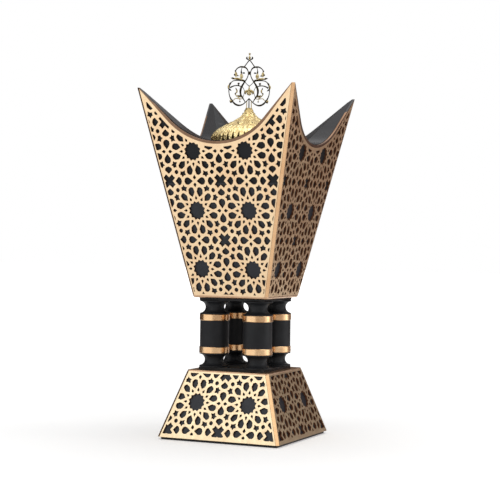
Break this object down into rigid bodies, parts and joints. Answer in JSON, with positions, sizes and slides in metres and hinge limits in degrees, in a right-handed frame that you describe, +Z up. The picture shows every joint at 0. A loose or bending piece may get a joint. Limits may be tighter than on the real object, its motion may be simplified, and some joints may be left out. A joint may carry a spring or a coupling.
{
  "type": "mabkhara incense burner",
  "caption": "Standing mabkhara incense burner: pierced horned bowl on turned columns and a tapered pierced base, with a lift-off domed lid, openwork finial and charcoal cup.",
  "frame": {"origin": "middle of the foot plate's lower face, on the table", "axes": "+Z up towards the horn tips; the face that the picture shows nearly frontal looks towards -Y; +X to the right seen from that face"},
  "size_m": [0.1258, 0.1258, 0.2906],
  "materials": {
    "plate_black": "satin black lacquer",
    "carcass_black": "satin black lacquer",
    "column_black": "satin black lacquer",
    "sheet_gold": "satin pale gold",
    "strip_gold": "satin orange gold",
    "rim_gold": "satin brown gold",
    "deck_gold": "satin gold",
    "ring_copper_gold": "polished copper gold",
    "lid_gold": "bright raised work",
    "finial_gold": "antiqued brass",
    "cup_steel": "spun",
    "fastener_steel": "plain"
  },
  "bodies": {
    "root": {"foot_plate": "plate_black", "lower_plate": "plate_black", "upper_plate": "plate_black", "base_carcass": "carcass_black", "bowl_carcass": "carcass_black", "bowl_head": "carcass_black", "base_lattice_front": "sheet_gold", "base_lattice_right": "sheet_gold", "base_lattice_back": "sheet_gold", "base_lattice_left": "sheet_gold", "bowl_lattice_front": "sheet_gold", "bowl_lattice_right": "sheet_gold", "bowl_lattice_back": "sheet_gold", "bowl_lattice_left": "sheet_gold", "base_corner_strip_front_right": "strip_gold", "base_corner_strip_back_right": "strip_gold", "base_corner_strip_back_left": "strip_gold", "base_corner_strip_front_left": "strip_gold", "bowl_corner_strip_front_right": "strip_gold", "bowl_corner_strip_back_right": "strip_gold", "bowl_corner_strip_back_left": "strip_gold", "bowl_corner_strip_front_left": "strip_gold", "rim_lip_front": "rim_gold", "rim_lip_right": "rim_gold", "rim_lip_back": "rim_gold", "rim_lip_left": "rim_gold", "base_deck": "deck_gold", "bowl_bottom_plate": "deck_gold", "column_foot_front_right": "column_black", "column_foot_back_right": "column_black", "column_foot_back_left": "column_black", "column_foot_front_left": "column_black", "column_drum_front_right": "column_black", "column_drum_back_right": "column_black", "column_drum_back_left": "column_black", "column_drum_front_left": "column_black", "column_head_front_right": "column_black", "column_head_back_right": "column_black", "column_head_back_left": "column_black", "column_head_front_left": "column_black", "column_lower_ring_front_right": "ring_copper_gold", "column_lower_ring_back_right": "ring_copper_gold", "column_lower_ring_back_left": "ring_copper_gold", "column_lower_ring_front_left": "ring_copper_gold", "column_upper_ring_front_right": "ring_copper_gold", "column_upper_ring_back_right": "ring_copper_gold", "column_upper_ring_back_left": "ring_copper_gold", "column_upper_ring_front_left": "ring_copper_gold", "foot_screws": "fastener_steel", "tie_rods": "fastener_steel", "lower_rod_washers": "fastener_steel", "lower_rod_nuts": "fastener_steel", "upper_rod_washers": "fastener_steel", "upper_rod_nuts": "fastener_steel"},
    "cup": {"charcoal_cup": "cup_steel"},
    "lid": {"lid_dome": "lid_gold", "finial_collar": "lid_gold", "lid_finial": "finial_gold", "finial_washer": "fastener_steel", "finial_nut": "fastener_steel"}
  },
  "joints": [
    {"name": "cup_lift", "type": "slide", "parent": "root", "child": "cup", "axis": [0, 0, 1], "range_m": [0, 0.095]},
    {"name": "lid_lift", "type": "slide", "parent": "cup", "child": "lid", "axis": [0, 0, 1], "range_m": [0, 0.065]}
  ]
}
